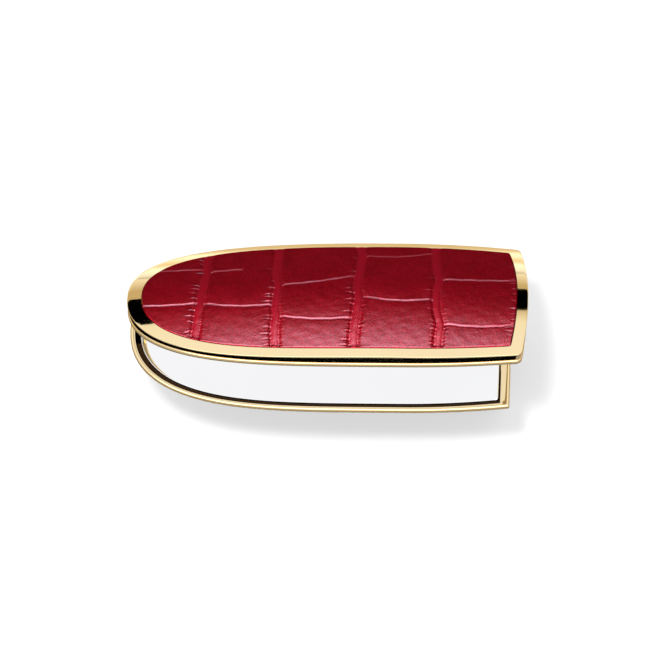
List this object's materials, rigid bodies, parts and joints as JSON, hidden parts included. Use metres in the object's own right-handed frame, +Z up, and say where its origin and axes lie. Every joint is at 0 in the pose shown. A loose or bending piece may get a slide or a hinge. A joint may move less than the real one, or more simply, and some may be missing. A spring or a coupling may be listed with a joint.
{
  "type": "lipstick case",
  "caption": "Hinged bullet-shaped lipstick case: deep gold body with a mirror deck and a round refill bore, domed lid with an embossed red leather inlay and a second mirror, shown ajar.",
  "frame": {"origin": "on the flat land of the back that the case rests on, under its centre line, 33.5 mm from the nose tip", "axes": "+X from the rounded nose to the open mouth, +Y to the hinge side, +Z up, square to the body's mirror"},
  "size_m": [0.0693, 0.0301, 0.0363],
  "materials": {
    "polished_gold": "mirror-polished pale gold plate",
    "satin_gold": "satin gold plate",
    "mirror_glass": "clear silvered glass",
    "tape": "adhesive foam tape",
    "black_plastic": "matte moulded",
    "core_plastic": "matte moulded",
    "steel": "bright drawn or rolled",
    "red_leather": "semi-gloss, embossed in large rectangular scales"
  },
  "bodies": {
    "body": {"body_shell": "polished_gold", "mirror_deck": "black_plastic", "body_mirror": "mirror_glass", "body_mirror_tape": "tape", "refill_sleeve": "black_plastic", "refill_grip_near": "steel", "refill_grip_far": "steel", "end_collar": "polished_gold", "catch_spring": "steel", "body_hinge_block": "satin_gold", "hinge_pin": "steel", "torsion_spring_nose_side": "steel", "torsion_spring_mouth_side": "steel"},
    "lid": {"lid_frame": "polished_gold", "inlay_core": "core_plastic", "leather_inlay": "red_leather", "lid_mirror_frame": "polished_gold", "lid_mirror": "mirror_glass", "lid_mirror_tape": "tape", "lid_hinge_block": "satin_gold", "lid_catch_blade": "steel"},
    "catch": {"catch_slider": "black_plastic"}
  },
  "joints": [
    {"name": "lid_hinge", "type": "hinge", "parent": "body", "child": "lid", "pos_m": [0, 0.014, 0.02037], "axis": [-1, 0, 0], "range_deg": [-29.1, 80], "stiffness_Nm_per_rad": 0.02, "deforming": ["torsion_spring_nose_side", "torsion_spring_mouth_side"]},
    {"name": "catch_slide", "type": "slide", "parent": "body", "child": "catch", "axis": [-1, 0, 0], "range_m": [0, 0.0009], "stiffness_N_per_m": 300, "deforming": ["catch_spring"]}
  ]
}
